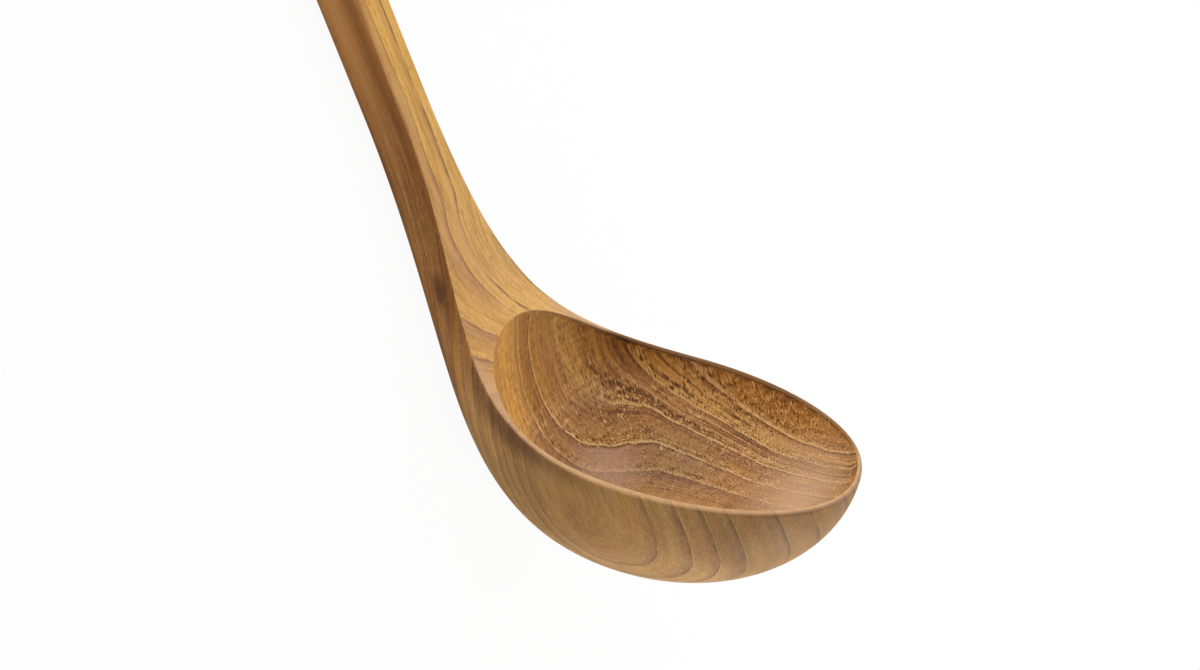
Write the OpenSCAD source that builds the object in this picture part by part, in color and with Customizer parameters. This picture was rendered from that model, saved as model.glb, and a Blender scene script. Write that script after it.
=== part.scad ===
// A carved wooden ladle: a deep bowl, a swept neck and a flat handle, all cut from one block.
// The profile is worked out with the rim level, its widest line at x = 0 and the lip at +x.
// The whole ladle is then turned until it lies at rest on its bowl and on its handle's end.

/* [Bowl] */
// Width across the rim, outside
bowl_w = 88; // [70:1:110]
// Reach of the rim from its widest line to the lip
bowl_front = 48; // [40:1:60]
// Depth of the bowl below the rim, outside
bowl_d = 37; // [30:0.5:44]
// Thickness of the wall at the rim
rim_t = 2.4; // [2:0.1:4]
// Thickness of the wood under the middle of the cavity
floor_t = 4.5; // [3:0.5:8]

/* [Neck] */
// Distance from the widest line back to the start of the straight handle
neck_back = 75.5; // [65:0.5:90]
// Height of the start of the straight handle above the rim
neck_rise = 60; // [50:0.5:75]
// Angle between the handle and a line square to the rim
handle_lean = 31.7; // [25:0.1:38]
// Angle between the back of the cavity and a line square to the rim, at its top edge
cavity_lean = 14; // [5:1:30]

/* [Handle] */
// Width of the handle where it leaves the neck
handle_w = 18; // [14:0.5:24]
// Width of the handle near its end
handle_end_w = 25; // [18:0.5:32]
// Thickness of the handle
handle_t = 12.5; // [9:0.5:16]
// Length of the straight handle above the neck
handle_l = 185; // [120:5:260]
// Length of the rounded end of the handle
end_l = 12; // [8:0.5:16]
// Radius of the handle's front edges
edge_r = 3; // [1.5:0.25:4]

/* [Hanging hole] */
// Diameter of the hanging hole
hole_d = 7; // [4:0.5:9]
// Distance from the end of the handle to the middle of the hole
hole_inset = 15; // [12:0.5:25]
// Width of the bevel around both mouths of the hole
hole_bevel = 0.8; // [0.4:0.1:1.2]

/* [Hidden] */
wood_tone = "peru";

// Shape of the oval rim and cavity outline: 1 is an ellipse, less is fuller
oval_power = 0.92;
// Shape of a cross-section: 2 is an ellipse, more is squarer
bowl_power = 2;
handle_power = 2.5;
// Share of the neck's curve that the cavity reaches up
cavity_share = 0.49;
// Pulls of the neck's curves, as shares of their span: at the bowl, then at the handle
front_pull_shares = [0.452, 0.533];
back_pull_shares = [0.333, 0.462];
cavity_pull_shares = [0.39, 0.4];
// Rounding of the rim, as a share of its thickness
rim_round_share = 0.42;
// Where the handle's edges begin to soften and where they are full: the neck runs from 0 to 1, the handle on to 2
soft_start = 0.6;
soft_full = 1.2;
// Share of the handle's half face that its middle points spread over
lip_share = 2 / 3;

// Steps along the ladle: front of the bowl, cavity behind it, rest of the neck, handle, rounded end
front_steps = 12;
cavity_steps = 14;
neck_steps = 9;
handle_steps = 7;
end_steps = 8;
// Steps round a section: outside, cavity, and rounded edge, flat and inner edge of the face
outer_steps = 22;
inner_steps = 18;
edge_steps = 4;
flat_steps = 1;
lip_steps = 3;
face_steps = edge_steps + flat_steps + lip_steps;
last_column = 2 * face_steps + outer_steps;
cavity_end = front_steps + cavity_steps;
// Smoothness of the hole, and how far its cutter runs past the wood
hole_facets = 48;
overrun = handle_t / 4;

rim_r = rim_t * rim_round_share;
half_w = bowl_w / 2;
// Directions in the [x, z] plane: along the handle, and from its front face to its back
handle_dir = [-sin(handle_lean), cos(handle_lean)];
depth_dir = [-cos(handle_lean), -sin(handle_lean)];
level_back = [-1, 0];
straight_down = [0, -1];
cavity_dir = [-sin(cavity_lean), cos(cavity_lean)];
neck_top = [-neck_back, neck_rise];

function mix(a, b, t) = a + (b - a) * t;
function smooth(t) = let (c = min(max(t, 0), 1)) c * c * (3 - 2 * c);
function unit(v) = v / norm(v);
function signed_pow(v, p) = sign(v) * pow(abs(v), p);

// A cubic curve from a, leaving along dir_a, to b, arriving along dir_b; the pulls are shares of the span
function sweep(a, dir_a, b, dir_b, pulls, t) =
    let (span = norm(b - a), a2 = a + dir_a * span * pulls[0], b2 = b - dir_b * span * pulls[1])
    mix(mix(mix(a, a2, t), mix(a2, b2, t), t), mix(mix(a2, b2, t), mix(b2, b, t), t), t);

// Front face, back and cavity floor of the neck, in the plane of symmetry, at share u of its curve
function front_line(u) = sweep([0, 0], level_back, neck_top, handle_dir, front_pull_shares, u);
function back_line(u) = sweep([0, -bowl_d], level_back, neck_top + depth_dir * handle_t, handle_dir,
                              back_pull_shares, u);
cavity_top = front_line(cavity_share);
cavity_floor = [0, floor_t - bowl_d];
function floor_line(t) = sweep(cavity_floor, level_back, cavity_top, cavity_dir, cavity_pull_shares, t);

// A station is one slice of the ladle. It holds, in this order: its front edge and back in the plane
// of symmetry, its half width, section power and edge radius, the cavity's edge, floor, half width
// and inner edge radius there, and the angle round the handle's rounded end (0 before it).
function front_station(a) =
    let (e = [bowl_front * cos(a), 0], c = [(bowl_front - rim_t) * cos(a), 0],
         deep = mix(rim_r, bowl_d, sin(a)), hollow = mix(rim_r, bowl_d - floor_t, sin(a)))
    [e, e + straight_down * deep, half_w * pow(sin(a), oval_power), bowl_power, rim_r,
     c, c + straight_down * hollow, (half_w - rim_t) * pow(sin(a), oval_power), rim_r, 0];

function neck_half(u) = mix(half_w, handle_w / 2, smooth(u));
function neck_power(u) = mix(bowl_power, handle_power, smooth(u));
function neck_edge(u) = mix(rim_r, edge_r, smooth((u - soft_start) / (soft_full - soft_start)));

function cavity_station(a) =
    let (u = cavity_share * sin(a), e = front_line(u))
    [e, back_line(u), neck_half(u), neck_power(u), neck_edge(u),
     e, floor_line(a / 90), (half_w - rim_t) * pow(cos(a), oval_power), rim_r * cos(a), 0];

function neck_station(u) =
    let (e = front_line(u))
    [e, back_line(u), neck_half(u), neck_power(u), neck_edge(u), e, e, 0, 0, 0];

function handle_half(s) = mix(handle_w, handle_end_w, smooth(s / handle_l)) / 2;
function handle_station(s, a = 0) =
    let (e = neck_top + handle_dir * s, r = neck_edge(1 + s / handle_l),
         deep = mix(r, handle_t, pow(cos(a), 2 / handle_power)))
    [e, e + depth_dir * deep, handle_half(s), handle_power, r, e, e, 0, 0, a];

stations = concat(
    [for (i = [0:front_steps]) front_station(90 * i / front_steps)],
    [for (i = [1:cavity_steps]) cavity_station(90 * i / cavity_steps)],
    [for (i = [1:neck_steps]) neck_station(mix(cavity_share, 1, i / neck_steps))],
    [for (i = [1:handle_steps]) handle_station((handle_l - end_l) * i / handle_steps)],
    [for (i = [1:end_steps]) let (a = 90 * i / end_steps) handle_station(handle_l - end_l * (1 - sin(a)), a)]);
last_station = len(stations) - 1;

// Direction from the face into the wood at a station, and a point of the profile moved that way
function into_wood(st) = st[1] == st[0] ? straight_down : unit(st[1] - st[0]);
// Depth of a rounded edge of radius r at the distance gap from it
function round_drop(gap, r) = gap < r ? r - sqrt(max(r * r - (r - gap) * (r - gap), 0)) : 0;

// Shares of the face's width where its points lie, from the outer edge to the cavity or the middle
function face_shares(edge, lip) =
    concat([for (i = [0:edge_steps]) edge * (1 - cos(90 * i / edge_steps))],
           [for (i = [lip_steps:-1:0]) 1 - lip * (1 - cos(90 * i / lip_steps))]);

// One side of a station's face, from its outer edge to the cavity's edge or the middle
function face_points(st) =
    let (out = [st[0][0], st[2] * cos(st[9]), st[0][1]], inn = [st[5][0], st[7], st[5][1]],
         wide = norm([st[0][0], st[2], st[0][1]] - inn), edge = st[4] / wide,
         lip = max(st[8] / wide, (1 - edge) * lip_share))
    [for (t = face_shares(edge, lip))
        let (gap = wide * (1 - norm([sin(st[9]), cos(st[9]) * (1 - t)])),
             drop = into_wood(st) * max(round_drop(gap, st[4]), round_drop(wide * (1 - t), st[8])))
        mix(out, inn, t) + [drop[0], 0, drop[1]]];

// A U-shaped section from one edge, down through its deepest point and up to the other edge
function u_points(edge, half, deepest, power, steps) =
    [for (i = [0:steps])
        let (a = 180 * i / steps, p = mix(edge, deepest, pow(abs(sin(a)), 2 / power)))
        [p[0], half * signed_pow(cos(a), 2 / power), p[1]]];

// The whole outside of a station: half its face, its back, and the other half of its face
function outer_ring(st) =
    let (face = face_points(st),
         back = u_points(st[0] + into_wood(st) * st[4], st[2] * cos(st[9]), st[1], st[3], outer_steps))
    concat([for (k = [face_steps:-1:0]) face[k]],
           [for (k = [1:outer_steps - 1]) back[k]],
           [for (k = [0:face_steps]) [face[k][0], -face[k][1], face[k][2]]]);

// The cavity's section at a station, without its two edges, which the outer ring holds
function cavity_ring(st) =
    let (u = u_points(st[5] + into_wood(st) * st[8], st[7], st[6], bowl_power, inner_steps))
    [for (k = [1:inner_steps - 1]) u[k]];

ladle_points = concat([for (st = stations) each outer_ring(st)],
                      [for (i = [1:cavity_end - 1]) each cavity_ring(stations[i])]);

// Number of a point in that list. Points that meet at the lip, along the middle of the face and at
// the end of the handle share one number, so that the surface closes.
function outer_id(i, j) =
    let (k = i == last_station ? 0
           : i == 0 && j > face_steps + outer_steps ? last_column - j
           : i == 0 && j > face_steps ? face_steps
           : i >= cavity_end && j == last_column ? 0
           : j)
    i * (last_column + 1) + k;
function cavity_id(i, j) =
    i == 0 || i == cavity_end || j == 0 ? outer_id(i, 0)
    : j == inner_steps ? outer_id(i, last_column)
    : len(stations) * (last_column + 1) + (i - 1) * (inner_steps - 1) + j - 1;

// The two triangles of a four-cornered patch, without one that has no area
function patch(a, b, c, d) = [for (t = [[a, b, c], [a, c, d]]) if (t[0] != t[1] && t[1] != t[2] && t[2] != t[0]) t];

ladle_faces = concat(
    [for (i = [0:last_station - 1], j = [0:last_column - 1])
        each patch(outer_id(i, j), outer_id(i + 1, j), outer_id(i + 1, j + 1), outer_id(i, j + 1))],
    [for (i = [0:cavity_end - 1], j = [0:inner_steps - 1])
        each patch(cavity_id(i, j), cavity_id(i, j + 1), cavity_id(i + 1, j + 1), cavity_id(i + 1, j))]);

// At rest the bowl's back and the back of the handle's end touch the table: the line under both
// gives the angle to turn by. The turned profile then gives the middle and the height of the rest.
bowl_profile = [for (i = [0:cavity_end]) stations[i][1]];
end_profile = [for (i = [last_station - end_steps:last_station]) stations[i][1]];
rest_angle = -max([for (e = end_profile) min([for (b = bowl_profile) atan2(b[1] - e[1], b[0] - e[0])])]);
function turned(p) = [p[0] * cos(rest_angle) - p[1] * sin(rest_angle), p[0] * sin(rest_angle) + p[1] * cos(rest_angle)];
profile = [for (st = stations) each [turned(st[0]), turned(st[1])]];
profile_x = [for (p = profile) p[0]];
rest_place = [-(min(profile_x) + max(profile_x)) / 2, 0, -min([for (p = profile) p[1]])];
module lay_at_rest() translate(rest_place) rotate([0, -rest_angle, 0]) children();

// The hole's middle on the front face, and its axis square to that face
hole_place = neck_top + handle_dir * (handle_l - hole_inset);
module hanging_hole() {
    translate([hole_place[0], 0, hole_place[1]]) rotate([0, -90 - handle_lean, 0]) {
        translate([0, 0, -overrun])
            cylinder(d = hole_d, h = handle_t + 2 * overrun, $fn = hole_facets);
        translate([0, 0, -hole_bevel])
            cylinder(d1 = hole_d + 4 * hole_bevel, d2 = hole_d, h = 2 * hole_bevel, $fn = hole_facets);
        translate([0, 0, handle_t - hole_bevel])
            cylinder(d1 = hole_d, d2 = hole_d + 4 * hole_bevel, h = 2 * hole_bevel, $fn = hole_facets);
    }
}

module ladle() {
    color(wood_tone) lay_at_rest() difference() {
        polyhedron(ladle_points, ladle_faces, convexity = 6);
        hanging_hole();
    }
}

ladle();
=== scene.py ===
"""A carved teak ladle lying on a pale table, seen as in the photograph."""
import math
from collections import namedtuple
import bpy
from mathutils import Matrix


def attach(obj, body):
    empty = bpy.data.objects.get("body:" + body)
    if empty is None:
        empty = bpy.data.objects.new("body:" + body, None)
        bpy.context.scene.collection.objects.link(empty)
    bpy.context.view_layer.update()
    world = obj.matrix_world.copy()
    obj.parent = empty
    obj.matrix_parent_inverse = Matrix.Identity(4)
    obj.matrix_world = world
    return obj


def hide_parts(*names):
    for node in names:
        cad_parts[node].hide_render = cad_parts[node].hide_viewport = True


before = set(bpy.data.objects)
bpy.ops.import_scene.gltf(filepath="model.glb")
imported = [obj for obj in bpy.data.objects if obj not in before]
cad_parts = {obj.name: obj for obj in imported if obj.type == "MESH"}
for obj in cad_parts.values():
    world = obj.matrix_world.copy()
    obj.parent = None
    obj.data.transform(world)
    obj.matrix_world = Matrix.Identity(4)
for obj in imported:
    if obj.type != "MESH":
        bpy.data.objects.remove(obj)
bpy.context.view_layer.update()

from types import SimpleNamespace

import bmesh
import bpy
import numpy as np
from mathutils import Matrix, Vector

# Sizes of the ladle in millimetres and degrees, the same as in the part's own source
MM = 0.001
bowl_w = 88
bowl_front = 48
bowl_d = 37
rim_t = 2.4
floor_t = 4.5
neck_back = 75.5
neck_rise = 60
handle_lean = math.radians(31.7)
cavity_lean = math.radians(14)
handle_w = 18
handle_end_w = 25
handle_t = 12.5
handle_l = 185
end_l = 12
edge_r = 3
hole_d = 7
hole_inset = 15
hole_bevel = 0.8
oval_power = 0.92
bowl_power = 2
handle_power = 2.5
cavity_share = 0.49
front_pull_shares = (0.452, 0.533)
back_pull_shares = (0.333, 0.462)
cavity_pull_shares = (0.39, 0.4)
rim_round_share = 0.42

# Finer than in the source: the lip thins to the bowl's tip, and the front edge is crisp along the neck
# and soft on the handle. Where each starts and is full counts from 0 at the rim to 1 at the neck's top,
# and to 2 at the handle's end
tip_t = 1.25
tip_lip_r = 0.12
crisp_r = 0.5
crisp_start = 0.5
crisp_full = 0.62
soft_start = 0.82
soft_full = 1.25

# Steps along the ladle, round its sections and round its hole, and the share of a wide face that the
# lip's steps take
front_steps = 60
cavity_steps = 70
neck_steps = 45
handle_steps = 70
end_steps = 36
outer_steps = 110
inner_steps = 100
edge_steps = 9
flat_steps = 14
lip_steps = 8
lip_steps_share = 0.3
bevel_steps = 6
hole_facets = 64

# How near points are joined and how short an edge is dropped, in metres, and what turn makes an edge sharp
join_reach = 2e-6
short_edge = 1e-6
sharp_turn = math.radians(50)

# The wood, in millimetres: its pith bends past the bowl's side, in powers of the share of pith_reach
# from pith_middle. Then how flat its growth layers are above and below the pith, and the turn between
pith_middle = 120.0
pith_reach = 40.0
pith_shares = (-1.75, 1.0)
pith_aside = (-94.0, 1.9, -6.9, -6.6)
pith_height = (30.6, 2.5, 9.2, 3.0)
flat_above = 0.56
flat_below = 0.27
flat_turn = 0.001

# Near the back of the hollow the layers swing aside: where, how widely, how far, and which way
swing_middle = (104.0, 22.0, 20.0)
swing_reach = 20.0
swing = 1.0
swing_lean = (2.28, -7.15, 12.29)

# Where its layers start and end, counted from the pith, the width of those further out, how far they
# go, and a width that none exceeds. Then two of the edges, which marks go by
layer_edges = (0.0, 60.5, 67.0, 73.0, 80.0, 94.5, 106.0, 120.5, 125.5, 130.5, 134.5, 138.5, 152.0)
outer_layer = 16.0
last_edge = 216.0
widest_layer = 64.0
mauve_edge = layer_edges[8]
streaked_edge = layer_edges[10]

# The value round which noise textures vary
noise_middle = 0.5

# Its colours: the palest marks, the tones of its layers, the darkest marks, and single places' own. Of
# these, the tan is a painted sheen, the lip's colour a painted highlight, and the mauve a late-wood tone
# partly painted as a sheen
chalk = (0.92, 0.64, 0.29)
pale = (0.86, 0.55, 0.21)
sunny = (0.86, 0.51, 0.13)
golden = (0.75, 0.405, 0.092)
honey = (0.64, 0.33, 0.085)
rosy = (0.52, 0.26, 0.095)
brown = (0.35, 0.155, 0.052)
dark = (0.10, 0.040, 0.014)
amber = (0.76, 0.35, 0.11)
olive = (0.43, 0.265, 0.125)
mauve = (0.54, 0.36, 0.26)
tan_sheen = (0.68, 0.47, 0.30)
lip_highlight = (0.50, 0.31, 0.175)

# What its colours are multiplied by on the outside, and then in the oiled hollow. The tints of the bowl's
# end and tip, the far lip and the wall under the rim are painted shade, and those of the hollow partly so
side_tint = (0.92, 0.80, 0.80)
edge_tint = (0.50, 0.42, 0.32)
front_tint = (0.94, 0.90, 0.72)
neck_tint = (0.88, 0.86, 0.95)
eye_tint = (0.86, 0.82, 0.80)
bowl_end_shade = (0.67, 0.62, 0.54)
bowl_tip_shade = (0.78, 0.77, 0.80)
far_lip_shade = (0.34, 0.26, 0.16)
under_rim_shade = (0.42, 0.38, 0.40)
gold_tint = (0.92, 0.82, 0.56)
back_tint = (0.58, 0.47, 0.22)
bowl_tint = (0.86, 0.79, 0.78)
floor_tint = (0.62, 0.55, 0.55)
far_tint = (0.80, 0.66, 0.52)
end_tint = (0.78, 0.77, 0.92)
shade_tint = (0.78, 0.84, 0.94)

# The lamps stand round the bowl: the turn and rise of each in degrees, and its power in watts. Their
# distance, size and aim are in metres
Lamp = namedtuple("Lamp", "name turn rise power")
lamps = (
    Lamp("handle_lamp", 180, 12, 11.5),
    Lamp("bowl_lamp", 0, 12, 9.5),
    Lamp("back_lamp", 75, 62, 8.5),
    Lamp("front_lamp", 270, 62, 2.5),
)
lamp_distance = 1.2
lamp_size = (0.7, 0.7)
lamps_aim = Vector((0.1, 0, 0.04))

# Sizes and directions that follow, the directions in the plane of symmetry
rim_r = rim_t * rim_round_share
half_w = bowl_w / 2
handle_dir = np.array([-math.sin(handle_lean), math.cos(handle_lean)])
depth_dir = np.array([-math.cos(handle_lean), -math.sin(handle_lean)])
cavity_dir = np.array([-math.sin(cavity_lean), math.cos(cavity_lean)])
level_back = np.array([-1.0, 0.0])
straight_down = np.array([0.0, -1.0])
neck_top = np.array([-neck_back, neck_rise])

# One slice of the ladle: its front edge and back in the plane of symmetry, half width, section
# power and edge radius, then the cavity's edge, floor, half width and edge radius there, and the
# angle round the handle's rounded end
Station = namedtuple("Station", "edge back half power edge_r rim floor hollow lip_r turn")


def mix(a, b, t):
    return a + (b - a) * t


def smooth(t):
    c = min(max(t, 0.0), 1.0)
    return c * c * (3 - 2 * c)


def sweep(a, dir_a, b, dir_b, pulls, t):
    """A cubic curve from a, leaving along dir_a, to b, arriving along dir_b."""
    span = np.linalg.norm(b - a)
    a2 = a + dir_a * span * pulls[0]
    b2 = b - dir_b * span * pulls[1]
    s = 1 - t
    return s ** 3 * a + 3 * s * s * t * a2 + 3 * s * t * t * b2 + t ** 3 * b


def front_line(u):
    return sweep(np.zeros(2), level_back, neck_top, handle_dir, front_pull_shares, u)


def back_line(u):
    end = neck_top + depth_dir * handle_t
    return sweep(np.array([0.0, -bowl_d]), level_back, end, handle_dir, back_pull_shares, u)


def floor_line(t):
    start = np.array([0.0, floor_t - bowl_d])
    return sweep(start, level_back, front_line(cavity_share), cavity_dir, cavity_pull_shares, t)


def edge_radius(u):
    """Rounding of the front edge at u, which is 0 at the rim and 1 at the neck's top."""
    crisp = mix(rim_r, crisp_r, smooth((u - crisp_start) / (crisp_full - crisp_start)))
    return mix(crisp, edge_r, smooth((u - soft_start) / (soft_full - soft_start)))


def front_station(a):
    edge = np.array([bowl_front * math.cos(a), 0.0])
    rim = np.array([(bowl_front - tip_t) * math.cos(a), 0.0])
    lip_r = mix(tip_lip_r, rim_r, math.sin(a))
    wide = math.sin(a) ** oval_power
    half = half_w * wide
    hollow = (half_w - rim_t) * wide
    back = edge + straight_down * mix(rim_r, bowl_d, math.sin(a))
    floor = rim + straight_down * mix(lip_r, bowl_d - floor_t, math.sin(a))
    return Station(edge, back, half, bowl_power, rim_r, rim, floor, hollow, lip_r, 0.0)


def neck_values(u):
    return mix(half_w, handle_w / 2, smooth(u)), mix(bowl_power, handle_power, smooth(u)), edge_radius(u)


def cavity_station(a):
    u = cavity_share * math.sin(a)
    edge = front_line(u)
    closing = max(math.cos(a), 0.0)
    floor = floor_line(a / (math.pi / 2))
    hollow = (half_w - rim_t) * closing ** oval_power
    return Station(edge, back_line(u), *neck_values(u), edge, floor, hollow, rim_r * closing, 0.0)


def neck_station(u):
    edge = front_line(u)
    return Station(edge, back_line(u), *neck_values(u), edge, edge, 0.0, 0.0, 0.0)


def handle_station(s, a=0.0):
    edge = neck_top + handle_dir * s
    r = edge_radius(1 + s / handle_l)
    deep = mix(r, handle_t, max(math.cos(a), 0.0) ** (2 / handle_power))
    half = mix(handle_w, handle_end_w, smooth(s / handle_l)) / 2
    return Station(edge, edge + depth_dir * deep, half, handle_power, r, edge, edge, 0.0, 0.0, a)


def all_stations():
    quarter = math.pi / 2
    rows = [front_station(quarter * i / front_steps) for i in range(front_steps + 1)]
    rows += [cavity_station(quarter * i / cavity_steps) for i in range(1, cavity_steps + 1)]
    rows += [neck_station(mix(cavity_share, 1, i / neck_steps)) for i in range(1, neck_steps + 1)]
    rows += [handle_station((handle_l - end_l) * i / handle_steps) for i in range(1, handle_steps + 1)]
    for i in range(1, end_steps + 1):
        a = quarter * i / end_steps
        rows.append(handle_station(handle_l - end_l * (1 - math.sin(a)), a))
    return rows


def into_wood(st):
    gap = st.back - st.edge
    size = np.linalg.norm(gap)
    return gap / size if size > 0 else straight_down


def round_drop(gap, r):
    """Depth of a rounded edge of radius r at the distance gap from it."""
    return r - math.sqrt(max(r * r - (r - gap) ** 2, 0.0)) if gap < r else 0.0


def face_points(st):
    """One side of a station's face, from its outer edge to the cavity's edge or the middle."""
    full = np.array([st.edge[0], st.half, st.edge[1]])
    out = np.array([st.edge[0], st.half * math.cos(st.turn), st.edge[1]])
    inner = np.array([st.rim[0], st.hollow, st.rim[1]])
    wide = np.linalg.norm(full - inner)
    edge = st.edge_r / wide
    lip = max(st.lip_r / wide, min(lip_steps_share, (1 - edge) / 2))
    shares = [edge * (1 - math.cos(math.pi / 2 * i / edge_steps)) for i in range(edge_steps + 1)]
    shares += [mix(edge, 1 - lip, i / flat_steps) for i in range(1, flat_steps)]
    shares += [1 - lip * (1 - math.cos(math.pi / 2 * i / lip_steps)) for i in range(lip_steps, -1, -1)]
    down = into_wood(st)
    points = []
    for t in shares:
        gap = wide * (1 - math.hypot(math.sin(st.turn), math.cos(st.turn) * (1 - t)))
        drop = down * max(round_drop(gap, st.edge_r), round_drop(wide * (1 - t), st.lip_r))
        points.append(mix(out, inner, t) + np.array([drop[0], 0.0, drop[1]]))
    return points


def u_points(edge, half, deepest, power, steps):
    """A U-shaped section from one edge, down through its deepest point and up to the other."""
    points = []
    for i in range(steps + 1):
        a = math.pi * i / steps
        side = math.cos(a)
        p = mix(edge, deepest, abs(math.sin(a)) ** (2 / power))
        points.append(np.array([p[0], half * math.copysign(abs(side) ** (2 / power), side), p[1]]))
    return points


def outer_ring(st):
    face = face_points(st)
    start = st.edge + into_wood(st) * st.edge_r
    back = u_points(start, st.half * math.cos(st.turn), st.back, st.power, outer_steps)
    mirrored = [p * np.array([1, -1, 1]) for p in face]
    return face[::-1] + back[1:-1] + mirrored


def cavity_ring(st):
    return u_points(st.rim + into_wood(st) * st.lip_r, st.hollow, st.floor, bowl_power, inner_steps)


def rest_matrix(stations):
    """Turn and place the rim-level ladle so that its bowl and handle's end touch the table."""
    bowl = [st.back for st in stations[:front_steps + cavity_steps + 1]]
    end = [st.back for st in stations[-end_steps - 1:]]
    angle = -max(min(math.atan2(b[1] - e[1], b[0] - e[0]) for b in bowl) for e in end)
    turn = np.array([[math.cos(angle), -math.sin(angle)], [math.sin(angle), math.cos(angle)]])
    profile = np.array([turn @ p for st in stations for p in (st.edge, st.back)])
    low, high = profile.min(axis=0), profile.max(axis=0)
    place = Vector((-(low[0] + high[0]) / 2, 0, -low[1])) * MM
    return Matrix.Translation(place) @ Matrix.Rotation(-angle, 4, "Y") @ Matrix.Scale(MM, 4)


stations = all_stations()
to_rest = rest_matrix(stations)

# The direction that the level rim faces when the ladle lies at rest, and how far along it the rim lies
rim_up = (to_rest.to_3x3() @ Vector((0, 0, 1))).normalized()
rim_height = rim_up.dot(to_rest.translation) / MM


def grid_faces(first, rows, columns, flip):
    """Four-sided faces over a grid of points whose numbers start at first."""
    faces = []
    for i in range(rows - 1):
        for j in range(columns - 1):
            a = first + i * columns + j
            quad = (a, a + columns, a + columns + 1, a + 1)
            faces.append(quad[::-1] if flip else quad)
    return faces


def ladle_mesh():
    outer = [outer_ring(st) for st in stations]
    inner = [cavity_ring(st) for st in stations[:front_steps + cavity_steps + 1]]
    points = [to_rest @ Vector(p) for ring in outer + inner for p in ring]
    outer_count = len(outer) * len(outer[0])
    faces = grid_faces(0, len(outer), len(outer[0]), True)
    faces += grid_faces(outer_count, len(inner), len(inner[0]), False)
    mesh = bpy.data.meshes.new("ladle_wood")
    mesh.from_pydata(points, [], faces)
    mark = mesh.attributes.new("hollow", "FLOAT", "POINT")
    mark.data.foreach_set("value", [0.0] * outer_count + [1.0] * (len(points) - outer_count))
    bm = bmesh.new()
    bm.from_mesh(mesh)
    bmesh.ops.remove_doubles(bm, verts=bm.verts, dist=join_reach)
    bmesh.ops.dissolve_degenerate(bm, edges=bm.edges, dist=short_edge)
    bm.to_mesh(mesh)
    bm.free()
    return mesh


def add_object(name, mesh):
    obj = bpy.data.objects.new(name, mesh)
    bpy.context.scene.collection.objects.link(obj)
    return obj


def hole_cutter():
    """A round bar with a flared collar at both ends, for the hanging hole and its eased mouths."""
    reach = 3.0
    r = hole_d / 2
    top = [(r + hole_bevel, -reach)]
    for t in np.linspace(math.pi / 2, 0, bevel_steps + 1):
        top.append((r + hole_bevel * (1 - math.cos(t)), hole_bevel * (1 - math.sin(t))))
    profile = top + [(x, handle_t - y) for x, y in reversed(top)]
    spot = neck_top + handle_dir * (handle_l - hole_inset)
    mesh = bpy.data.meshes.new("hole_cutter")
    bm = bmesh.new()
    rings = []
    for radius, deep in profile:
        ring = []
        for k in range(hole_facets):
            a = 2 * math.pi * k / hole_facets
            along = radius * math.cos(a)
            p = spot + handle_dir * along + depth_dir * deep
            ring.append(bm.verts.new(to_rest @ Vector((p[0], radius * math.sin(a), p[1]))))
        rings.append(ring)
    for low, high in zip(rings, rings[1:]):
        for k in range(hole_facets):
            after = (k + 1) % hole_facets
            bm.faces.new((low[k], low[after], high[after], high[k]))
    bm.faces.new(rings[0][::-1])
    bm.faces.new(rings[-1])
    bmesh.ops.recalc_face_normals(bm, faces=bm.faces)
    bm.to_mesh(mesh)
    bm.free()
    return add_object("hole_cutter", mesh)


def make_ladle():
    body = add_object("ladle_body", ladle_mesh())
    cutter = hole_cutter()
    cut = body.modifiers.new("hole", "BOOLEAN")
    cut.operation = "DIFFERENCE"
    cut.solver = "EXACT"
    cut.object = cutter
    graph = bpy.context.evaluated_depsgraph_get()
    mesh = bpy.data.meshes.new_from_object(body.evaluated_get(graph))
    body.modifiers.clear()
    body.data = mesh
    bpy.data.objects.remove(cutter)
    mesh.polygons.foreach_set("use_smooth", [True] * len(mesh.polygons))
    mesh.set_sharp_from_angle(angle=sharp_turn)
    return body


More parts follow.
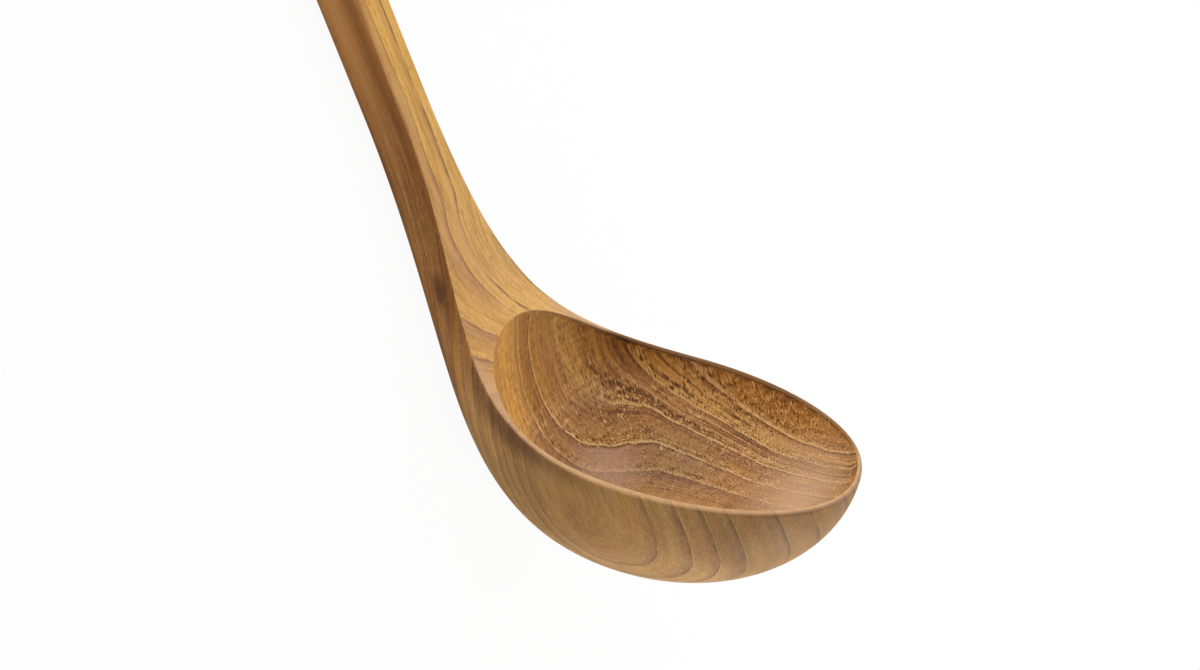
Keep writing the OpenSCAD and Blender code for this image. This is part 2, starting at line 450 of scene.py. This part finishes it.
class Graph:
    """Short calls for building a material's node tree."""

    def __init__(self, name):
        self.material = bpy.data.materials.new(name)
        self.material.use_nodes = True
        self.tree = self.material.node_tree
        self.shader = self.tree.nodes["Principled BSDF"]

    def put(self, socket, value):
        if hasattr(value, "is_linked"):
            self.tree.links.new(value, socket)
        else:
            socket.default_value = value

    def math(self, operation, *values):
        node = self.tree.nodes.new("ShaderNodeMath")
        node.operation = operation
        for socket, value in zip(node.inputs, values):
            self.put(socket, value)
        return node.outputs[0]

    def times(self, first, *others):
        for other in others:
            first = self.math("MULTIPLY", first, other)
        return first

    def most(self, first, *others):
        for other in others:
            first = self.math("MAXIMUM", first, other)
        return first

    def rest(self, share):
        """What is left of 1."""
        return self.math("SUBTRACT", 1.0, share)

    def vector(self, operation, *values):
        node = self.tree.nodes.new("ShaderNodeVectorMath")
        node.operation = operation
        for socket, value in zip(node.inputs, values):
            self.put(socket, value)
        if operation in ("LENGTH", "DOT_PRODUCT", "DISTANCE"):
            return node.outputs["Value"]
        return node.outputs["Vector"]

    def distance(self, vector, middle, scale):
        """Distance from the middle, with each direction scaled on its own."""
        return self.vector("LENGTH", self.vector("MULTIPLY", self.vector("SUBTRACT", vector, middle), scale))

    def join(self, *values):
        node = self.tree.nodes.new("ShaderNodeCombineXYZ")
        for socket, value in zip(node.inputs, values):
            self.put(socket, value)
        return node.outputs[0]

    def split(self, vector):
        node = self.tree.nodes.new("ShaderNodeSeparateXYZ")
        self.put(node.inputs[0], vector)
        return node.outputs

    def noise(self, vector, detail=2.0, roughness=0.5, colour=False):
        node = self.tree.nodes.new("ShaderNodeTexNoise")
        self.put(node.inputs["Vector"], vector)
        node.inputs["Scale"].default_value = 1.0
        node.inputs["Detail"].default_value = detail
        node.inputs["Roughness"].default_value = roughness
        return node.outputs["Color" if colour else "Fac"]

    def stretched(self, vector, length, width, **kind):
        """Noise with patches of that length along the ladle and that width across it."""
        return self.noise(self.vector("MULTIPLY", vector, (1 / length, 1 / width, 1 / width)), **kind)

    def cells(self, vector):
        """Distance to the nearest of many scattered points, and a random share for that point."""
        node = self.tree.nodes.new("ShaderNodeTexVoronoi")
        self.put(node.inputs["Vector"], vector)
        node.inputs["Scale"].default_value = 1.0
        return node.outputs["Distance"], self.split(node.outputs["Color"])[0]

    def span(self, value, low, high, out_low=0.0, out_high=1.0, smooth_ends=True):
        """The value's way from low to high, as a number that goes from out_low to out_high."""
        node = self.tree.nodes.new("ShaderNodeMapRange")
        node.interpolation_type = "SMOOTHSTEP" if smooth_ends else "LINEAR"
        for socket, v in zip(node.inputs, (value, low, high, out_low, out_high)):
            self.put(socket, v)
        return node.outputs[0]

    def between(self, share, a, b):
        """From a, where the share is 0, to b, where it is 1."""
        return self.span(share, 0.0, 1.0, a, b)

    def ramp(self, value, stops, steps=False):
        node = self.tree.nodes.new("ShaderNodeValToRGB")
        node.color_ramp.interpolation = "CONSTANT" if steps else "LINEAR"
        self.put(node.inputs[0], value)
        elements = node.color_ramp.elements
        while len(elements) < len(stops):
            elements.new(1.0)
        for element, (place, colour) in zip(elements, stops):
            element.position = place
            element.color = (*colour, 1.0)
        return node.outputs[0]

    def blend(self, share, a, b, mode="MIX"):
        node = self.tree.nodes.new("ShaderNodeMix")
        node.data_type = "RGBA"
        node.blend_type = mode
        self.put(node.inputs[0], share)
        for socket, value in ((node.inputs[6], a), (node.inputs[7], b)):
            self.put(socket, (*value, 1.0) if isinstance(value, tuple) else value)
        return node.outputs[2]

    def tint(self, share, colour, tint):
        return self.blend(share, colour, tint, "MULTIPLY")


def layer_place(g, q):
    """Which growth layer holds the ring distance q, and how far q lies from its start and its end."""
    count = math.ceil((last_edge - layer_edges[-1]) / outer_layer)
    edges = layer_edges + tuple(layer_edges[-1] + outer_layer * (i + 1) for i in range(count))
    layers = len(edges) - 1
    share = g.times(q, 1 / edges[-1])
    starts = [(edge / edges[-1], (i / layers,) * 3) for i, edge in enumerate(edges)]
    widths = [(a / edges[-1], ((b - a) / widest_layer,) * 3) for a, b in zip(edges, edges[1:])]
    number = g.times(g.ramp(share, starts), layers)
    width = g.times(g.ramp(share, widths, steps=True), widest_layer)
    since = g.times(g.math("FRACT", number), width)
    return g.math("FLOOR", number), since, g.math("SUBTRACT", width, since)


def power_sum(g, x, factors):
    """The factors times rising powers of x, added up."""
    total = factors[-1]
    for factor in reversed(factors[:-1]):
        total = g.math("MULTIPLY_ADD", total, x, factor)
    return total


def ring_distance(g, wood):
    """Distance from the bending pith, through layers flattened above and more so below it."""
    along, aside, height = g.split(wood)
    x = g.times(g.math("SUBTRACT", along, pith_middle), 1 / pith_reach)
    x = g.most(g.math("MINIMUM", x, pith_shares[1]), pith_shares[0])
    across = g.math("SUBTRACT", aside, power_sum(g, x, pith_aside))
    above = g.math("SUBTRACT", height, power_sum(g, x, pith_height))
    flat = g.span(above, 0.0, flat_turn, flat_below, flat_above, smooth_ends=False)
    return g.vector("LENGTH", g.join(0.0, across, g.math("DIVIDE", above, flat)))


def layer_swing(g, wood):
    """How far the layers lie aside of the ring distance near the back of the hollow."""
    gap = g.vector("MULTIPLY", g.vector("SUBTRACT", wood, swing_middle), (1 / swing_reach,) * 3)
    share = g.math("EXPONENT", g.times(g.vector("DOT_PRODUCT", gap, gap), -1.0))
    return g.times(share, g.math("ADD", g.vector("DOT_PRODUCT", gap, swing_lean), swing))


def pushed(g, place, vector, length, width, reach):
    """The vector pushed across the grain, up to half of reach, by a slow wander of that length and width."""
    wander = g.stretched(place, length, width, colour=True)
    shift = g.vector("SUBTRACT", wander, (noise_middle,) * 3)
    return g.vector("ADD", vector, g.vector("MULTIPLY", shift, (0.0, reach, reach / 2)))


# In the wood's functions a pair is the two places, layers, turns or noise values between which a mark
# comes in. Where there are four numbers, the last two are how strong it is at each of those two
def surface(g):
    """The surface's places in millimetres, its kinds as shares from 0 to 1, and the layers there."""
    long_wander = (90.0, 30.0, 3.0)
    short_wander = (20.0, 5.0, 1.0)
    side_rise = (0.92, 0.5)
    side_end = (112.0, 78.0)
    wall_start = (78.0, 105.0)
    wall_turn = (-0.7, -0.4)
    front_rise = (0.5, 0.8)
    calm_start = (130.0, 116.0)
    calm_layers = (126.5, 129.0)
    calm_share = 0.6
    source = g.tree.nodes.new("ShaderNodeTexCoord")
    mark = g.tree.nodes.new("ShaderNodeAttribute")
    mark.attribute_name = "hollow"
    s = SimpleNamespace(hollow=mark.outputs["Fac"], normal=g.split(source.outputs["Normal"]))
    s.place = g.vector("MULTIPLY", source.outputs["Object"], (1 / MM,) * 3)
    s.along, s.aside, s.height = g.split(s.place)
    s.level = g.vector("DOT_PRODUCT", source.outputs["Normal"], tuple(rim_up))
    s.bare = g.rest(s.hollow)
    s.side = g.times(s.bare, g.span(s.normal[2], *side_rise), g.span(s.along, *side_end))
    s.wall = g.times(s.bare, g.span(s.along, *wall_start), g.span(s.normal[0], *wall_turn))
    s.front = g.times(s.bare, g.span(s.normal[2], *front_rise))
    s.wood = pushed(g, s.place, pushed(g, s.place, s.place, *long_wander), *short_wander)
    s.q = g.math("ADD", ring_distance(g, s.wood), g.times(s.hollow, layer_swing(g, s.wood)))
    s.layer, s.since, s.left = layer_place(g, s.q)
    s.calm = g.times(s.hollow, g.span(s.along, *calm_start), g.span(s.q, *calm_layers), calm_share)
    s.broken = g.stretched(s.place, length=9.0, width=3.0, detail=3.0, roughness=0.6)
    return s


def layer_colours(g, s):
    """Each layer turns from golden early wood to rosy brown late wood, and some places differ. The front
    has a painted highlight toward its far edge.
    """
    turn_width = 9.0
    turn = ((0.0, brown), (0.12, rosy), (0.5, honey), (1.0, golden))
    deep_start = (131.0, 133.2)
    deep_share = 0.6
    olive_share = 0.5
    far_edge_highlight = (-9.0, 9.0, 0.0, 0.7)
    brown_tone = (0.52, 0.75, 0.0, 0.5)
    golden_tone = (0.46, 0.25, 0.0, 0.5)
    width = g.math("MINIMUM", g.math("ADD", s.since, s.left), turn_width)
    colour = g.ramp(g.math("DIVIDE", s.left, width), turn)
    deep = g.times(g.span(s.q, *deep_start), g.math("LESS_THAN", s.q, streaked_edge), s.hollow, deep_share)
    colour = g.blend(deep, colour, brown)
    colour = g.blend(s.calm, colour, rosy)
    colour = g.blend(g.times(s.wall, olive_share), colour, olive)
    # Painted highlight: the front is lighter toward its far edge
    colour = g.blend(g.times(s.front, g.span(s.aside, *far_edge_highlight)), colour, sunny)
    tone = g.stretched(s.place, length=60.0, width=14.0)
    colour = g.blend(g.span(tone, *brown_tone), colour, brown)
    return g.blend(g.span(tone, *golden_tone), colour, golden)


def streaks(g, s, colour):
    """Streaks run along the grain and follow the layers, and are strongest on the hollow's far wall."""
    strong_reach = 5.0
    bright_start = (134.4, 134.6)
    bright_end = (139.0, 136.5)
    bright_along = (104.0, 116.0)
    broad_l = 60.0
    thin_l = 25.0
    streak_h = 24.0
    bare_steps_per_mm = 0.16
    hollow_steps_per_mm = 0.85
    thin_narrowing = 2.6
    thin_share = 1.5
    middle = noise_middle * (1 + thin_share)
    least_inside = 0.35
    inside_along = (98.0, 112.0, 0.7, 1.0)
    bare_amount = 0.3
    side_amount = 0.5
    wall_amount = 0.6
    dark_streak = (0.0, 0.2, 0.0, 0.9)
    pale_streak = (0.0, -0.22, 0.0, 0.85)
    away = g.times(g.math("SUBTRACT", s.q, streaked_edge), 1 / strong_reach)
    streaked = g.math("EXPONENT", g.times(away, away, -1.0))
    bright = g.times(g.span(s.q, *bright_start), g.span(s.q, *bright_end), s.hollow)
    colour = g.blend(g.times(bright, g.span(s.along, *bright_along)), colour, sunny)
    step = g.times(s.q, g.between(s.hollow, bare_steps_per_mm, hollow_steps_per_mm))
    depth = g.times(s.height, 1 / streak_h)
    broad_place = g.join(g.times(s.along, 1 / broad_l), step, depth)
    thin_place = g.join(g.times(s.along, 1 / thin_l), g.times(step, thin_narrowing), depth)
    broad = g.noise(broad_place, detail=3.0, roughness=0.6)
    thin = g.noise(thin_place, detail=3.0, roughness=0.65)
    streak = g.math("MULTIPLY_ADD", thin, thin_share, g.math("SUBTRACT", broad, middle))
    inside = g.times(g.between(streaked, least_inside, 1.0), g.span(s.along, *inside_along))
    outside = g.between(s.side, bare_amount, side_amount)
    amount = g.times(g.between(s.hollow, outside, inside), g.between(s.wall, 1.0, wall_amount))
    colour = g.blend(g.times(g.span(streak, *dark_streak), amount), colour, dark)
    return g.blend(g.times(g.span(streak, *pale_streak), amount), colour, pale)


def layer_lines(g, s, colour):
    """Dark late wood ends each layer, in a line that fades and returns, and a pale one starts the next."""
    bare_width = 2.2
    front_width = 1.6
    hollow_width = 0.5
    side_calm = 0.7
    other_layers = (2.0, 4.5, 1.0, 0.3)
    bare_dark = 0.6
    front_dark = 0.9
    wall_loss = 0.15
    late_break = (0.35, 0.6, 0.1, 1.0)
    past_first = 0.5
    bare_chalk = 0.25
    early_end = (0.15, 0.5)
    early_break = (0.36, 0.5, 0.15, 1.0)
    width = g.between(s.hollow, g.between(s.front, bare_width, front_width), hollow_width)
    away = g.math("ABSOLUTE", g.math("SUBTRACT", s.q, mauve_edge))
    plain = g.rest(g.most(s.calm, g.times(s.side, side_calm)))
    plain = g.times(plain, g.most(g.span(away, *other_layers), s.wall, s.hollow))
    strong = g.math("SUBTRACT", g.between(s.front, bare_dark, front_dark), g.times(s.wall, wall_loss))
    late = g.times(g.span(s.left, 0.0, width, strong, 0.0), g.span(s.broken, *late_break), plain)
    colour = g.blend(late, colour, dark)
    inner_edge = g.times(g.math("GREATER_THAN", s.layer, past_first), g.between(s.hollow, bare_chalk, 1.0))
    early = g.rest(g.span(s.since, *early_end))
    s.early_line = g.times(early, g.span(s.broken, *early_break), plain, inner_edge)
    return g.blend(s.early_line, colour, chalk)


def fibres(g, s, colour):
    """Fibres along the grain, and the patches that they make where they are cut across."""
    brown_fibre = (0.26, 0.52, 0.65, 0.0)
    pale_fibre = (0.5, 0.74, 0.0, 0.45)
    bare_patches = 0.2
    brown_patch = (0.5, 0.3, 0.0, 0.4)
    pale_patch = (0.5, 0.72, 0.0, 0.4)
    s.fibre = g.stretched(s.wood, length=22.0, width=0.45, detail=3.0, roughness=0.7)
    colour = g.blend(g.span(s.fibre, *brown_fibre), colour, brown)
    colour = g.blend(g.span(s.fibre, *pale_fibre), colour, pale)
    patch = g.stretched(s.wood, length=3.0, width=1.0, detail=4.0, roughness=0.75)
    mottled = g.between(s.hollow, bare_patches, 1.0)
    colour = g.blend(g.times(g.span(patch, *brown_patch), mottled), colour, brown)
    return g.blend(g.times(g.span(patch, *pale_patch), mottled), colour, pale)


def pores(g, s, colour):
    """Pores are thin tubes along the grain, empty and dark or filled and pale, crowded in early wood."""
    early_crowd = (0.0, 2.0, 0.4, 0.0)
    far_crowd = (136.0, 140.0, 0.1, 0.3)
    pores_per_mm = (0.28, 1.5, 1.5)
    pore_size = (0.35, 0.85, 0.12, 0.4)
    pore_core = 0.6
    empty_pores = 0.55
    fine_per_mm = (0.5, 2.4, 2.4)
    fine_size = (0.2, 0.42, 1.0, 0.0)
    fine_crowd = (0.45, 0.8, 0.4, 1.0)
    fine_empty_pores = 0.5
    filled_crowd = (0.4, 0.75, 0.3, 1.0)
    wall_closed = 0.9
    side_closed = 0.4
    front_closed = 0.45
    back_closed = (114.0, 104.0, 0.0, 0.4)
    bare_chalk = 0.35
    hollow_chalk = 0.8
    bare_dark = 0.6
    hollow_dark = 0.9
    crowd = g.math("ADD", g.stretched(s.place, length=30.0, width=3.5), g.span(s.since, *early_crowd))
    crowd = g.math("ADD", crowd, g.times(s.hollow, g.span(s.q, *far_crowd)))
    spot, kind = g.cells(g.vector("MULTIPLY", s.wood, pores_per_mm))
    size = g.span(crowd, *pore_size)
    pore = g.span(spot, g.times(size, pore_core), size, 1.0, 0.0)
    empty = g.math("LESS_THAN", kind, empty_pores)
    fine_spot, fine_kind = g.cells(g.vector("MULTIPLY", s.wood, fine_per_mm))
    fine = g.times(g.span(fine_spot, *fine_size), g.span(crowd, *fine_crowd))
    fine_empty = g.math("LESS_THAN", fine_kind, fine_empty_pores)
    filled = g.most(g.times(pore, g.rest(empty)), g.times(fine, g.rest(fine_empty)))
    hollowed = g.most(g.times(pore, empty), g.times(fine, fine_empty))
    closed = g.most(g.times(s.wall, wall_closed), g.times(s.side, side_closed))
    closed = g.most(closed, g.times(s.front, front_closed), g.times(s.hollow, g.span(s.along, *back_closed)))
    still_open = g.rest(closed)
    s.filled = g.times(filled, g.span(crowd, *filled_crowd), still_open)
    s.empty = g.times(hollowed, still_open)
    colour = g.blend(g.times(s.filled, g.between(s.hollow, bare_chalk, hollow_chalk)), colour, chalk)
    return g.blend(g.times(s.empty, g.between(s.hollow, bare_dark, hollow_dark)), colour, dark)


def oil_and_shade(g, s, colour):
    """Oil and painted shade darken the hollow, each part of it in its own tint, and more where the grain
    is cut across.
    """
    gold_end = (116.0, 123.0)
    back_end = (104.0, 122.0)
    floor_rise = (0.35, 0.8)
    floor_start = (108.0, 118.0)
    far_start = (137.0, 142.0)
    across_power = 1.5
    oiled_and_shaded = g.blend(g.span(s.q, *gold_end), gold_tint, back_tint)
    oiled_and_shaded = g.blend(g.span(s.along, *back_end), oiled_and_shaded, bowl_tint)
    floor = g.times(g.span(s.normal[2], *floor_rise), g.span(s.along, *floor_start))
    oiled_and_shaded = g.blend(floor, oiled_and_shaded, floor_tint)
    oiled_and_shaded = g.blend(g.span(s.q, *far_start), oiled_and_shaded, far_tint)
    across = g.math("POWER", g.math("ABSOLUTE", s.normal[0]), across_power)
    oiled_and_shaded = g.blend(across, oiled_and_shaded, g.vector("MULTIPLY", oiled_and_shaded, end_tint))
    return g.tint(s.hollow, colour, oiled_and_shaded)


def hollow_marks(g, s, colour):
    """In the hollow, filled pores and pale lines show through the oil and painted shade, a tan spot is a
    painted sheen, a mauve late-wood patch is partly a painted sheen, and one soft spot has painted shade.
    """
    pale_layers = (118.0, 130.0, 0.2, 0.8)
    pale_along = (102.0, 122.0, 0.3, 1.0)
    line_share = 0.7
    tan_spot = (150.0, 14.0, 68.0)
    tan_per_mm = (0.035, 0.045, 0.045)
    tan_fade = (0.0, 1.0, 0.65, 0.0)
    mauve_spot = (132.0, 17.0, 20.0)
    mauve_gap_shares = (1.0, 0.8, 1.0)
    mauve_fade = (2.0, 15.0, 0.5, 0.0)
    mauve_start = (100.0, 118.0)
    mauve_blur = 0.8
    mauve_end = (mauve_edge, mauve_edge - mauve_blur)
    shade_spot = (140.0, 27.0, 34.0)
    shade_per_mm = (0.06, 0.06, 0.06)
    shade_fade = (0.2, 1.0, 1.0, 0.0)
    kept = g.times(g.span(s.q, *pale_layers), g.span(s.along, *pale_along), s.hollow)
    kept = g.times(kept, g.most(s.filled, g.times(s.early_line, line_share)))
    colour = g.blend(kept, colour, pale)
    # Painted sheen: a soft tan spot high in the hollow, by the bowl's tip
    tan_gap = g.distance(s.place, tan_spot, tan_per_mm)
    colour = g.blend(g.times(g.span(tan_gap, *tan_fade), s.hollow), colour, tan_sheen)
    # A mauve late-wood patch in one layer of the hollow's floor, which also paints a sheen there
    mauve_gap = g.distance(s.wood, mauve_spot, mauve_gap_shares)
    mauve_and_sheen_share = g.times(g.span(mauve_gap, *mauve_fade), s.hollow, g.span(s.q, *mauve_start))
    colour = g.blend(g.times(mauve_and_sheen_share, g.span(s.q, *mauve_end)), colour, mauve)
    shade_gap = g.distance(s.place, shade_spot, shade_per_mm)
    return g.tint(g.times(g.span(shade_gap, *shade_fade), s.hollow), colour, shade_tint)


def handle_colours(g, s, colour):
    """Sides turn amber along the handle and darker near its front, which is golden, and one is smudged."""
    amber_along = (60.0, 0.0, 0.0, 0.75)
    side_along = (-10.0, 50.0)
    neck_start = (20.0, 75.0)
    edge_rise = (6.5, 12.0)
    edge_along = (92.0, 72.0)
    smudge_spot = (68.5, -16.5, 9.5)
    smudge_per_mm = (0.16, 0.2, 0.24)
    smudge_break = 1.2
    smudge_fade = (0.25, 0.95, 0.75, 0.0)
    colour = g.blend(g.times(s.side, g.span(s.along, *amber_along)), colour, amber)
    colour = g.tint(g.times(s.side, g.span(s.along, *side_along)), colour, side_tint)
    colour = g.tint(s.front, colour, g.blend(g.span(s.along, *neck_start), front_tint, neck_tint))
    edge = g.times(s.side, g.span(s.height, *edge_rise), g.span(s.along, *edge_along))
    colour = g.tint(edge, colour, edge_tint)
    ragged = g.times(g.math("SUBTRACT", s.broken, noise_middle), smudge_break)
    smudge_gap = g.math("ADD", g.distance(s.wood, smudge_spot, smudge_per_mm), ragged)
    return g.blend(g.times(g.span(smudge_gap, *smudge_fade), s.side), colour, dark)


def wall_colours(g, s, colour):
    """The bowl's outside is darker in its innermost layers, and has painted shade at its far end."""
    eye_layers = (85.0, 65.0)
    eye_turn = (0.6, 0.35)
    end_rise = (52.0, 64.0)
    end_start = (114.0, 138.0)
    eye = g.times(s.wall, g.span(s.q, *eye_layers), g.span(s.normal[0], *eye_turn))
    colour = g.tint(eye, colour, eye_tint)
    # Painted shade toward the bowl's far end
    bowl_end = g.times(s.wall, g.span(s.height, *end_rise), g.span(s.along, *end_start))
    return g.tint(bowl_end, colour, bowl_end_shade)


def lip_colours(g, s, colour):
    """The lip is paler than the wall, a painted highlight, and has painted shade on its far side, and the
    wall under it by the neck has a strip of painted shade.
    """
    lip_level = (0.4, 0.8)
    lip_aside = (24.0, 29.0)
    lip_along = (116.0, 126.0)
    lip_share = 0.6
    inner_turn = (-0.05, -0.3)
    far_turn = (0.5, 0.0)
    far_aside = (4.0, 16.0)
    far_start = (99.0, 105.0)
    far_end = (128.0, 140.0, 1.0, 0.75)
    lip = g.most(g.span(g.math("ABSOLUTE", s.aside), *lip_aside), g.span(s.along, *lip_along))
    lip = g.times(lip, s.bare, g.span(s.level, *lip_level))
    # Painted highlight: the lip is paler than the wall
    colour = g.blend(g.times(lip, lip_share), colour, lip_highlight)
    # Painted shade on the lip's far side and on its inner edge there
    inner = g.times(s.bare, g.span(s.normal[1], *inner_turn))
    far_lip = g.times(g.most(lip, inner), g.span(s.normal[1], *far_turn), g.span(s.aside, *far_aside))
    far_lip = g.times(far_lip, g.span(s.along, *far_start), g.span(s.along, *far_end))
    colour = g.tint(far_lip, colour, far_lip_shade)

    # The neck's edge leaves the rim's plane behind lift_start, in a curve, and the strip of painted shade
    # follows it
    lift_start = 113.0
    lift_per_mm = 0.0175
    strip_fade = (0.8, 4.5, 1.0, 0.0)
    strip_level = (0.85, 0.45)
    strip_start = (80.0, 88.0)
    strip_end = (100.0, 122.0, 1.0, 0.0)
    near_turn = (-0.1, -0.4)
    lift = g.math("POWER", g.most(g.math("SUBTRACT", lift_start, s.along), 0.0), 2.0)
    edge_height = g.math("MULTIPLY_ADD", lift, lift_per_mm, rim_height)
    below = g.math("SUBTRACT", edge_height, g.vector("DOT_PRODUCT", s.place, tuple(rim_up)))
    strip = g.times(s.bare, g.span(below, *strip_fade), g.span(s.level, *strip_level))
    strip = g.times(strip, g.span(s.along, *strip_start), g.span(s.along, *strip_end))
    # Painted shade on the wall under the rim by the neck
    return g.tint(g.times(strip, g.span(s.normal[1], *near_turn)), colour, under_rim_shade)


def relief(g, s):
    """A dull oiled surface, rougher and lower in empty pores, with fine ridges along the fibres."""
    dullness = 0.56
    fibre_dullness = 0.16
    pore_dullness = 0.2
    fibre_height = 0.35
    bump_strength = 0.4
    bump_depth = 0.12
    rough = g.math("ADD", g.times(s.fibre, fibre_dullness), g.times(s.empty, pore_dullness))
    g.put(g.shader.inputs["Roughness"], g.math("ADD", rough, dullness))
    g.shader.inputs["Specular IOR Level"].default_value = 0.22
    bump = g.tree.nodes.new("ShaderNodeBump")
    bump.inputs["Strength"].default_value = bump_strength
    bump.inputs["Distance"].default_value = bump_depth * MM
    g.put(bump.inputs["Height"], g.math("SUBTRACT", g.times(s.fibre, fibre_height), s.empty))
    g.put(g.shader.inputs["Normal"], bump.outputs[0])


def teak():
    """Solid teak: growth layers round a pith beside the bowl, with streaks, fibres and pores along the
    grain, then the tints of its surfaces, among them oil and painted shade in the hollow, painted shade on
    the far lip, under the rim and on the bowl's outside toward its end, and painted highlights on the
    handle's front, the lip and in the hollow. The outside of the bowl's tip is darkest, with painted shade."""
    tip_rise = (66.0, 80.0)
    g = Graph("oiled_teak")
    s = surface(g)
    colour = layer_colours(g, s)
    colour = streaks(g, s, colour)
    colour = layer_lines(g, s, colour)
    colour = fibres(g, s, colour)
    colour = pores(g, s, colour)
    colour = oil_and_shade(g, s, colour)
    colour = hollow_marks(g, s, colour)
    colour = handle_colours(g, s, colour)
    colour = wall_colours(g, s, colour)
    colour = lip_colours(g, s, colour)
    # Painted shade: the outside of the bowl's tip is darker still
    colour = g.tint(g.times(s.wall, g.span(s.height, *tip_rise)), colour, bowl_tip_shade)
    g.put(g.shader.inputs["Base Color"], colour)
    relief(g, s)
    return g.material


def make_camera():
    """The photograph's camera: turned and raised about the level rim, rolled, and aimed above the bowl's
    back. Its distance and target are in millimetres, the target's from the rim's widest place."""
    turn, rise, roll = (math.radians(a) for a in (11.093, 20.977, 11.426))
    distance = 298.8
    target = Vector((-20.58, 0, 15.6))
    back = Vector((math.sin(turn) * math.cos(rise), -math.cos(turn) * math.cos(rise), math.sin(rise)))
    level = Vector((math.cos(turn), math.sin(turn), 0))
    upright = back.cross(level)
    right = level * math.cos(roll) + upright * math.sin(roll)
    up = upright * math.cos(roll) - level * math.sin(roll)
    data = bpy.data.cameras.new("camera")
    data.sensor_width = 36
    data.lens = 37.0
    data.clip_start = 0.01
    camera = add_object("camera", data)
    turned = to_rest.to_3x3() * (1 / MM)
    axes = Matrix((turned @ right, turned @ up, turned @ back)).transposed()
    camera.matrix_world = Matrix.Translation(to_rest @ (target + back * distance)) @ axes.to_4x4()
    bpy.context.scene.camera = camera


def add_lamp(name, place, aim, size, power):
    data = bpy.data.lights.new(name, "AREA")
    data.shape = "RECTANGLE"
    data.size, data.size_y = size
    data.energy = power
    lamp = add_object(name, data)
    lamp.location = place
    lamp.rotation_euler = (Vector(aim) - Vector(place)).to_track_quat("-Z", "Y").to_euler()


def make_lamps():
    for lamp in lamps:
        a = math.radians(lamp.turn)
        e = math.radians(lamp.rise)
        away = Vector((math.cos(a) * math.cos(e), math.sin(a) * math.cos(e), math.sin(e)))
        add_lamp(lamp.name, lamps_aim + away * lamp_distance, lamps_aim, lamp_size, lamp.power)


def make_world():
    """A dim light from all round, which the camera and mirrored rays see as white."""
    dim = 0.12
    white = 1.0
    world = bpy.data.worlds.new("studio")
    bpy.context.scene.world = world
    world.use_nodes = True
    nodes, links = world.node_tree.nodes, world.node_tree.links
    path = nodes.new("ShaderNodeLightPath")
    seen = nodes.new("ShaderNodeMath")
    seen.operation = "MAXIMUM"
    links.new(path.outputs["Is Camera Ray"], seen.inputs[0])
    links.new(path.outputs["Is Glossy Ray"], seen.inputs[1])
    level = nodes.new("ShaderNodeMapRange")
    links.new(seen.outputs[0], level.inputs[0])
    level.inputs["To Min"].default_value = dim
    level.inputs["To Max"].default_value = white
    background = nodes["Background"]
    background.inputs["Color"].default_value = (1, 1, 1, 1)
    links.new(level.outputs[0], background.inputs["Strength"])


def make_floor():
    """A wide pale table that glows for the camera, and a little less by the ladle, where its shadow falls."""
    side = 30.0
    shadow_place = (0.07, 0.0, 0.0)
    glow_shares = (0.0, 0.5, 0.95, 1.0)
    mesh = bpy.data.meshes.new("table")
    corners = [(-side, -side, 0), (side, -side, 0), (side, side, 0), (-side, side, 0)]
    mesh.from_pydata(corners, [], [(0, 1, 2, 3)])
    floor = add_object("table", mesh)
    g = Graph("pale_table")
    g.shader.inputs["Base Color"].default_value = (0.8, 0.8, 0.8, 1)
    g.shader.inputs["Roughness"].default_value = 0.9
    g.shader.inputs["Specular IOR Level"].default_value = 0.1
    glow = g.tree.nodes.new("ShaderNodeEmission")
    glow.inputs[0].default_value = (1, 1, 1, 1)
    path = g.tree.nodes.new("ShaderNodeLightPath")
    source = g.tree.nodes.new("ShaderNodeTexCoord")
    far = g.vector("DISTANCE", source.outputs["Object"], shadow_place)
    share = g.times(path.outputs["Is Camera Ray"], g.span(far, *glow_shares))
    both = g.tree.nodes.new("ShaderNodeMixShader")
    g.put(both.inputs[0], share)
    g.put(both.inputs[1], g.shader.outputs[0])
    g.put(both.inputs[2], glow.outputs[0])
    out = g.tree.nodes["Material Output"]
    g.put(out.inputs["Surface"], both.outputs[0])
    mesh.materials.append(g.material)


ladle = make_ladle()
ladle.data.materials.clear()
ladle.data.materials.append(teak())
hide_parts("ladle")
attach(ladle, "root")

make_camera()
make_world()
make_floor()
make_lamps()
bpy.context.scene.view_settings.view_transform = "Standard"
